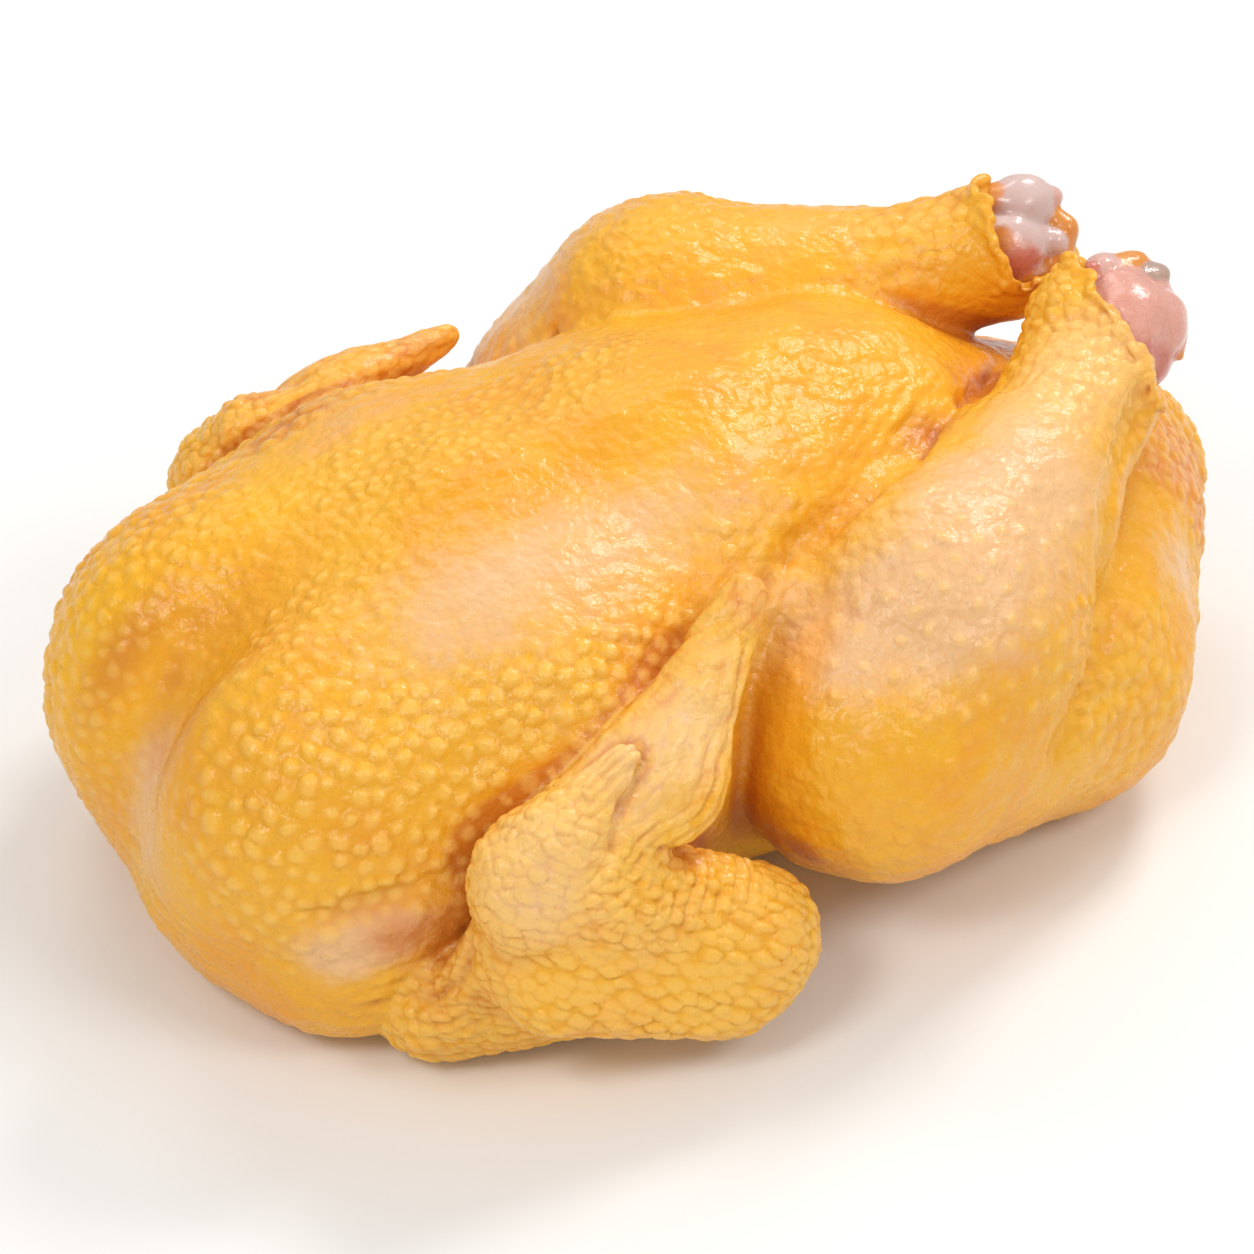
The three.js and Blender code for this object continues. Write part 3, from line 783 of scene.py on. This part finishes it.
class Sheet:
    """The nodes of one material."""

    def __init__(self, name):
        self.material = bpy.data.materials.new(name)
        self.material.use_nodes = True
        self.tree = self.material.node_tree
        self.tree.nodes.clear()

    def node(self, kind, settings=None, inputs=None, out=0):
        """Any node: its settings first, then the values or links of its sockets."""
        node = self.tree.nodes.new(kind)
        for key, value in (settings or {}).items():
            setattr(node, key, value)
        for key, value in (inputs or {}).items():
            if isinstance(value, Value):
                self.tree.links.new(value.socket, node.inputs[key])
            else:
                node.inputs[key].default_value = value
        return Value(self, node.outputs[out]) if node.outputs else None

    def sum(self, operation, a, b):
        return self.node("ShaderNodeMath", {"operation": operation}, {0: a, 1: b})

    def layer(self, name):
        """What a layer of the mesh says at each point."""
        return self.node("ShaderNodeAttribute", {"attribute_name": name}, out="Fac")

    def mix(self, a, b, share):
        """Colour a going to colour b."""
        a = a if isinstance(a, Value) else (*a, 1)
        b = b if isinstance(b, Value) else (*b, 1)
        settings = {"data_type": "RGBA", "clamp_factor": True}
        return self.node("ShaderNodeMix", settings, {0: share, 6: a, 7: b}, out=2)

    def place(self):
        return self.node("ShaderNodeTexCoord", out="Object")

    def noise(self, place, size_mm, detail, rough, twist=0.0):
        inputs = {"Vector": place, "Scale": 1 / (size_mm * MM), "Detail": detail, "Roughness": rough,
                  "Distortion": twist}
        return self.node("ShaderNodeTexNoise", {"noise_dimensions": "3D"}, inputs)

    def cells(self, place, size_mm, feature="F1"):
        inputs = {"Vector": place, "Scale": 1 / (size_mm * MM), "Randomness": 1.0}
        return self.node("ShaderNodeTexVoronoi", {"feature": feature}, inputs, "Distance")

    def between(self, value, low, high, a=0.0, b=1.0):
        """a where value is low, b where it is high, and soft between them."""
        inputs = {"Value": value, "From Min": low, "From Max": high, "To Min": a, "To Max": b}
        return self.node("ShaderNodeMapRange", {"interpolation_type": "SMOOTHSTEP"}, inputs)

    def bump(self, height, distance, strength, under=None):
        inputs = {"Height": height, "Distance": distance * MM, "Strength": strength}
        if under is not None:
            inputs["Normal"] = under
        return self.node("ShaderNodeBump", {}, inputs)

    def shader(self, **inputs):
        """Ends the sheet with its surface, and gives the material."""
        named = {key.replace("_", " "): value for key, value in inputs.items()}
        surface = self.node("ShaderNodeBsdfPrincipled", {}, named)
        self.node("ShaderNodeOutputMaterial", {}, {"Surface": surface})
        return self.material


def skin_material(sizes):
    s = Sheet("corn_yellow_skin")
    place = s.place()
    broad = s.noise(place, 34, 2, 0.55)
    patchy = s.noise(place, 9, 3, 0.6)
    fine = s.noise(place, 2.2, 2, 0.6)
    fleshy, rosy, creamy = s.layer("fleshy"), s.layer("rosy"), s.layer("creamy")
    crown, crease, shelter_shade = s.layer("crown"), s.layer("crease"), s.layer("shelter_shade")

    colour = s.mix(sizes.gold, sizes.gold_deep, s.between(broad + 0.5 * patchy, 0.6, 1.0))
    colour = s.mix(colour, sizes.lemon, s.between(s.layer("lemon") + 0.3 * (patchy - 0.5), 0.1, 0.8) * 0.85)
    colour = s.mix(colour, sizes.cream, s.between(creamy + 0.35 * (patchy - 0.5), 0.15, 0.8) * 0.8)
    thin = fleshy + 0.5 * (patchy - 0.5) + 0.3 * (fine - 0.5)
    colour = s.mix(colour, sizes.flesh, s.between(thin, 0.06, 0.7) * 0.95)
    flushed = rosy + 0.5 * (patchy - 0.5) + 0.3 * (fine - 0.5)
    colour = s.mix(colour, sizes.rose, s.between(flushed, 0.2, 0.9) * 0.8)
    # Painted shade: deep gold laid into hollow, sheltered places.
    colour = s.mix(colour, sizes.gold_deep, s.between(shelter_shade, 0.45, 0.95) * 0.6)
    # Darker orange spots: partly browned skin, partly painted shade in folds and where wings and legs meet
    # the breast.
    colour = s.mix(colour, sizes.brown_and_shade, s.between(s.layer("browned_and_shaded") + 0.6 * (patchy - 0.5), 0.1, 0.9) * 0.8)
    # Painted shade in creases and hollows, weaker over thin skin.
    colour = s.mix(colour, sizes.brown_and_shade, s.between(crease, 0.3, 0.9) * (0.85 - fleshy * 0.4))
    # Paler yellow on the pimple crowns: partly their own colour, partly a painted highlight on their tops.
    colour = s.mix(colour, sizes.pimple, s.between(crown, 0.1, 0.95) * 0.42)
    # Painted shade in the valleys between pimples and between fold lines.
    colour = s.mix(colour, sizes.brown_and_shade, s.between(s.layer("valley"), 0.15, 1.0) * 0.13)
    speck = s.between(s.cells(place, 7.0), 0.10, 0.035) * s.between(patchy, 0.45, 0.6)
    colour = s.mix(colour, sizes.rose, speck * 0.45)

    cobble = s.cells(place, 2.2)
    wrinkle = s.noise(place, 1.6, 2, 0.55)
    grain = s.noise(place, 0.5, 1, 0.5)
    form = s.bump((1 - cobble) * 0.5 + wrinkle * 0.6, 0.6, 0.8)
    normal = s.bump(grain, 0.08, 0.6, form)
    rough = s.between(fine + patchy * 0.6, 0.5, 1.1, 0.24, 0.42)
    wet = s.between(patchy + 0.5 * broad, 0.5, 0.95, 0.0, 0.12)
    return s.shader(
        Base_Color=colour, Roughness=rough, Coat_Weight=wet, Normal=normal, Coat_Roughness=0.16,
        Coat_IOR=1.38, IOR=1.40, Specular_IOR_Level=0.6, Subsurface_Weight=0.2,
        Subsurface_Radius=(1.0, 0.42, 0.18), Subsurface_Scale=0.0014,
    )


def joint_material(sizes):
    s = Sheet("bared_joint")
    place = s.place()
    patchy = s.noise(place, 6, 3, 0.6)
    fine = s.noise(place, 1.6, 3, 0.6, 0.6)
    white, red, tissue, bone = s.layer("white"), s.layer("red"), s.layer("tissue"), s.layer("bone")
    pale = s.layer("pale")
    colour = s.mix(sizes.joint_pink, sizes.joint_red, s.between(red + 0.5 * (patchy - 0.5) + 0.2, 0.2, 1.0))
    colour = s.mix(colour, sizes.joint_white, s.between(pale + 0.35 * (patchy - 0.5), 0.25, 0.8) * 0.45)
    colour = s.mix(colour, sizes.joint_white, s.between(white + 0.35 * (patchy - 0.5), 0.25, 0.8) * 0.9)
    colour = s.mix(colour, sizes.gold_deep, s.between(tissue + 0.3 * (patchy - 0.5), 0.3, 0.7) * 0.9)
    colour = s.mix(colour, sizes.bone, s.between(bone, 0.3, 0.7) * 0.9)
    vein = s.between(s.cells(place, 5.0, "DISTANCE_TO_EDGE"), 0.07, 0.0) * (red * 0.7 + 0.25)
    colour = s.mix(colour, sizes.vein, vein * 0.5 * (1 - white))
    strand = s.noise(place, 3.0, 3, 0.5, 1.6)
    normal = s.bump(fine * 0.15 + strand * (1 - white), 0.8, 0.4)
    return s.shader(
        Base_Color=colour, Roughness=s.between(fine, 0.3, 0.7, 0.16, 0.3), Coat_Weight=0.4, Normal=normal,
        Coat_Roughness=0.06, Coat_IOR=1.4, IOR=1.42, Subsurface_Weight=0.35,
        Subsurface_Radius=(1.0, 0.5, 0.4), Subsurface_Scale=0.004,
    )


def floor_material(sizes):
    s = Sheet("pale_floor")
    cloud = s.noise(s.place(), 260, 2, 0.5)
    colour = s.mix(sizes.floor, tuple(c * 0.985 for c in sizes.floor), cloud)
    return s.shader(Base_Color=colour, Roughness=0.75)


# The bared joint ends.

# Each lump of a joint end: centre, radii and the tint that it carries.
LUMPS = {
    -1: [((113.6, -15.8, 100.2), (8.6, 8, 8), "pink"), ((117.4, -22, 95), (9.8, 9.2, 10.4), "pink"),
         ((113.5, -25, 90.5), (8, 7.6, 8.4), "red"), ((108.5, -17, 93), (11, 11, 12), "pink"),
         ((121.5, -17, 99.5), (5, 4.6, 5), "pale"),
         ((113, -10, 105), (5.2, 4.6, 4.6), "pale"), ((108.5, -10.5, 105), (3.2, 3.6, 4.4), "red"),
         ((118, -11, 105.2), (6.5, 4, 3.6), "tissue"), ((121.4, -14.4, 103.4), (6.6, 4.6, 3.0), "bone")],
    1: [((112, 22.5, 106.2), (8.8, 7.4, 7.4), "white"), ((119, 19.8, 107.4), (2.6, 2.6, 2.6), "pale"),
        ((106.5, 24.5, 107), (4.4, 5, 5.2), "tissue"), ((110, 21, 101.5), (8.5, 6, 4.6), "tissue"),
        ((110.5, 16.2, 98), (5.6, 4, 3.6), "red"), ((103, 27, 102), (4, 4, 5.6), "tissue")],
}
# Each bar of a joint end: its two ends, the radius at each, and its tint.
BARS = {
    -1: [((124.4, -15, 102.6), (126.2, -22.5, 97), 1.3, 1.3, "tissue"),
         ((126.2, -22.5, 97), (121.6, -29.6, 90), 1.3, 1, "tissue")],
    1: [((103.4, 23.2, 103.6), (109, 17.6, 101.6), 2.5, 2.7, "white"),
        ((109, 17.6, 101.6), (115.6, 12.8, 100), 2.7, 3.2, "white"),
        ((117, 20, 105), (119.4, 14, 101.5), 2.4, 3, "tissue"),
        ((119.4, 14, 101.5), (117, 11.5, 95.5), 3, 2.4, "tissue"),
        ((117, 11.5, 95.5), (110, 13.5, 94), 2.4, 2.6, "tissue")],
}
TINTS = ("white", "pale", "red", "tissue", "bone")
# The core of each joint end: its reach before and past the hock, and the radius at both ends.
JOINT_CORE = {-1: (14, 3, 10, 11), 1: (14, 1, 10, 10)}


def joint_parts(p, side):
    """The distance to each lump and bar of a joint end, with its tint."""
    for centre, radii, tint in LUMPS[side]:
        yield egg(p, centre, radii), tint
    for a, b, ra, rb, tint in BARS[side]:
        yield limb(p, a, b, ra, rb), tint


def joint_form(side):
    """The distance form of one bared joint end."""
    hock, along = hock_axis(side)
    before, beyond, r0, r1 = JOINT_CORE[side]

    def form(p):
        d = limb(p, hock - along * before, hock + along * beyond, r0, r1)
        for part, _ in joint_parts(p, side):
            d = meld(d, part, 1.2)
        return d

    return form


def joint_layers(points, side):
    """One number per point for each tint: 1 on the lumps that carry it."""
    bend = np.stack([waves(points / 5, seed) for seed in (51, 52, 53)], 1)
    parts = list(joint_parts(points + 0.5 * bend, side))
    depths = np.array([d for d, _ in parts])
    shares = np.exp((depths.min(0) - depths) / 0.7)
    shares /= shares.sum(0)
    layers = {}
    for name in TINTS:
        carried = [share for share, (_, tint) in zip(shares, parts) if tint == name]
        layers[name] = sum(carried, np.zeros(len(points)))
    return layers


# What a user can change.


def tint(name, description, default):
    """A colour that a user can change."""
    return bpy.props.FloatVectorProperty(
        name=name, description=description, subtype="COLOR", size=3, default=default)


class ChickenSkin(bpy.types.PropertyGroup):
    cell: bpy.props.FloatProperty(
        name="Mesh cell", description="Size of the skin's quads, in mm", default=0.9, min=0.6, max=6)
    gold: tint("Gold", "Fat-rich skin", (0.875, 0.43, 0.02))
    # Deep gold is also laid into hollows as painted shade.
    gold_deep: tint("Deep gold", "Sheltered skin", (0.85, 0.35, 0.012))
    lemon: tint("Lemon", "Yellowest skin", (0.95, 0.48, 0.008))
    cream: tint("Cream", "Pale skin", (0.93, 0.54, 0.19))
    flesh: tint("Flesh", "Skin over flesh", (0.84, 0.50, 0.24))
    rose: tint("Rose", "Reddened skin", (0.78, 0.28, 0.07))
    # Dark orange for browned skin, and the painted shade of creases, hollows and the valleys between pimples
    # and folds.
    brown_and_shade: tint("Fold", "Deep folds", (0.60, 0.17, 0.015))
    # Pimple crowns: partly their own paler yellow, partly a painted highlight.
    pimple: tint("Pimple", "Pimple crowns", (0.97, 0.61, 0.14))


class ChickenJoints(bpy.types.PropertyGroup):
    cell: bpy.props.FloatProperty(
        name="Mesh cell", description="Size of the joint ends' quads, in mm", default=0.6, min=0.3, max=3)
    joint_pink: tint("Pink", "Flesh on the joint", (0.72, 0.36, 0.28))
    joint_red: tint("Red", "Redder flesh", (0.58, 0.18, 0.12))
    joint_white: tint("White", "Cartilage", (0.66, 0.50, 0.46))
    gold_deep: tint("Tissue", "Yellow tissue between the knobs", (0.72, 0.28, 0.03))
    bone: tint("Bone", "Clouded bone", (0.42, 0.30, 0.24))
    vein: tint("Vein", "Fine vessels", (0.45, 0.10, 0.07))


class ChickenStage(bpy.types.PropertyGroup):
    floor: tint("Floor", "Colour of the floor", (0.9, 0.9, 0.89))
    key_power: bpy.props.FloatProperty(
        name="Key light", description="Power of the main soft light", default=6.3, min=0, unit="POWER")
    fill_power: bpy.props.FloatProperty(
        name="Fill light", description="Power of the side lights", default=4.5, min=0, unit="POWER")
    sky: bpy.props.FloatProperty(
        name="Surround", description="Brightness of the white surround", default=0.5, min=0, max=5)


# The camera, the lights and the steps that build everything.

SKIN_LOW, SKIN_HIGH = (-147, -113, -3), (153, 112, 121)


class CHICKEN_OT_skin(bpy.types.Operator):
    """Builds the skin of the whole chicken over its carcass solid"""
    bl_idname = "chicken.skin"
    bl_label = "Skin"

    def execute(self, context):
        sizes = context.scene.chicken_skin
        cell = sizes.cell * 1
        mesh, points, out = surface("chicken_skin", chicken_form, SKIN_LOW, SKIN_HIGH, cell, (fine_zone,))
        sunk, near = creases(points)
        layers = skin_layers(points, out, near)
        rise, layers["crown"], layers["valley"] = pimples(points, wing_of(points))
        open_skin = 1 - 0.7 * layers["crease"]
        ridges = fold_lines(points, out)
        # The hollows between fold lines join the valley layer, which paints shade there.
        layers["valley"] = np.maximum(layers["valley"], np.clip(-ridges * 2.2, 0, 1))
        lift = rise + ridges
        for length, seed, height in SWELLS:
            lift = lift + height * waves(points / length, seed)
        free = np.clip(points[:, 2] / RESTING, 0, 1)
        moved = points + out * ((lift * open_skin - sunk) * free)[:, None]
        moved[:, 2] = np.maximum(moved[:, 2], 0)
        skin = finished(mesh, moved, layers, skin_material(sizes))
        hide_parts("carcass")
        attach(skin, "root")
        return {"FINISHED"}


class CHICKEN_OT_joints(bpy.types.Operator):
    """Builds the two bared joint ends in their sleeves of skin"""
    bl_idname = "chicken.joints"
    bl_label = "Joint ends"

    def execute(self, context):
        sizes = context.scene.chicken_joints
        material = joint_material(sizes)
        for side, name, node in ((-1, "joint_right", "hock_right"), (1, "joint_left", "hock_left")):
            hock, _ = hock_axis(side)
            mesh, points, out = surface(name, joint_form(side), hock - 26, hock + 28, sizes.cell)
            layers = joint_layers(points, side)
            moved = points + out * (0.25 * waves(points / 7, 21))[:, None]
            joint = finished(mesh, moved, layers, material)
            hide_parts(node)
            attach(joint, "root")
        return {"FINISHED"}


# The camera, as it stands to the form: azimuth and height in degrees, and the rest in millimetres.
AZIMUTH, HEIGHT, DISTANCE, LENS, SENSOR = -31.0, 37.0, 1100.0, 137.37, 36
AIM = (0.0, 0.0, 50.0)
# The aim lies as many pixels left of the middle of the photograph as below it.
PHOTO_SIDE, OFF_MIDDLE = 1254, 35
# The lights, in metres: name, place, size, the setting that gives the power, and its share.
LIGHTS = [
    ("key", (0.78, 0.30, 1.05), (0.34, 0.34), "key_power", 1),
    ("front", (0.35, -0.95, 1.1), (0.5, 0.4), "fill_power", 1.05),
    ("back", (0.15, 0.85, 1.15), (0.6, 0.4), "fill_power", 0.55),
    ("side", (-0.85, -0.4, 1.15), (0.4, 0.4), "fill_power", 1.25),
]
LIT_POINT = (0, 0, 0.05)
# Half the side of the floor, and how far it lies below the bird, so that the two don't flicker.
FLOOR_HALF, FLOOR_DROP = 6.0, 0.0002


def area_light(name, at, towards, size, power):
    """A soft light of two sides, turned to a point."""
    data = bpy.data.lights.new(name, "AREA")
    data.shape = "RECTANGLE"
    data.size, data.size_y = size
    data.energy = power
    light = bpy.data.objects.new(name, data)
    light.location = at
    light.rotation_euler = (Vector(towards) - Vector(at)).to_track_quat("-Z", "Y").to_euler()
    bpy.context.scene.collection.objects.link(light)


def camera_at_photo_angle():
    """Stands the camera where the photograph was taken from."""
    a, e = math.radians(AZIMUTH), math.radians(HEIGHT)
    back = Vector((math.sin(a) * math.cos(e), -math.cos(a) * math.cos(e), math.sin(e)))
    right = Vector((math.cos(a), math.sin(a), 0))
    up = right.cross(-back)
    aim = (Vector(AIM) - Vector(MIDDLE)) * MM
    eye = aim + back * DISTANCE * MM
    off, width = OFF_MIDDLE / PHOTO_SIDE, SENSOR / LENS
    look = -back - right * off * width - up * off * width
    data = bpy.data.cameras.new("camera")
    data.lens = LENS
    data.sensor_width = SENSOR
    data.clip_start, data.clip_end = 0.05, 30
    camera = bpy.data.objects.new("camera", data)
    look.normalize()
    side = look.cross(up).normalized()
    top = side.cross(look)
    camera.matrix_world = Matrix((
        (side.x, top.x, -look.x, eye.x),
        (side.y, top.y, -look.y, eye.y),
        (side.z, top.z, -look.z, eye.z),
        (0, 0, 0, 1),
    ))
    bpy.context.scene.collection.objects.link(camera)
    bpy.context.scene.camera = camera


class CHICKEN_OT_stage(bpy.types.Operator):
    """Lays the pale floor, the soft lights and the camera"""
    bl_idname = "chicken.stage"
    bl_label = "Stage"

    def execute(self, context):
        sizes = context.scene.chicken_stage
        mesh = bpy.data.meshes.new("floor")
        outline = [(x * FLOOR_HALF, y * FLOOR_HALF, 0) for x, y in ((-1, -1), (1, -1), (1, 1), (-1, 1))]
        mesh.from_pydata(outline, [], [(0, 1, 2, 3)])
        mesh.materials.append(floor_material(sizes))
        floor = bpy.data.objects.new("floor", mesh)
        floor.location.z = -FLOOR_DROP
        context.scene.collection.objects.link(floor)
        floor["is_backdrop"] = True
        for name, at, size, setting, share in LIGHTS:
            area_light(name, at, LIT_POINT, size, getattr(sizes, setting) * share)
        world = bpy.data.worlds.new("surround")
        world.use_nodes = True
        shade = world.node_tree.nodes["Background"]
        shade.inputs["Color"].default_value = (1, 1, 1, 1)
        shade.inputs["Strength"].default_value = sizes.sky
        context.scene.world = world
        context.scene.view_settings.view_transform = "Standard"
        camera_at_photo_angle()
        return {"FINISHED"}


class CHICKEN_PT_panel(bpy.types.Panel):
    """Lists the steps that build the chicken"""
    bl_idname = "CHICKEN_PT_panel"
    bl_label = "Whole raw chicken"
    bl_space_type = "VIEW_3D"
    bl_region_type = "UI"
    bl_category = "Chicken"

    def draw(self, context):
        for key, kind in GROUPS.items():
            box = self.layout.box()
            for name in kind.__annotations__:
                box.prop(getattr(context.scene, key), name)
        for step in STEPS:
            self.layout.operator(step.bl_idname)


GROUPS = {"chicken_skin": ChickenSkin, "chicken_joints": ChickenJoints, "chicken_stage": ChickenStage}
STEPS = (CHICKEN_OT_skin, CHICKEN_OT_joints, CHICKEN_OT_stage)
CLASSES = (*GROUPS.values(), *STEPS, CHICKEN_PT_panel)


def register():
    for cls in CLASSES:
        bpy.utils.register_class(cls)
    for key, kind in GROUPS.items():
        setattr(bpy.types.Scene, key, bpy.props.PointerProperty(type=kind))


def unregister():
    for key in GROUPS:
        delattr(bpy.types.Scene, key)
    for cls in reversed(CLASSES):
        bpy.utils.unregister_class(cls)


def plain(box):
    """A box as lists of plain numbers, which json can write."""
    return [[float(v) for v in corner] for corner in box]


def main():
    register()
    bpy.ops.chicken.skin()
    bpy.ops.chicken.joints()
    bpy.ops.chicken.stage()
    {"cad": plain(CAD_BOX), "visual": plain(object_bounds())}


if __name__ == "__main__":
    main()
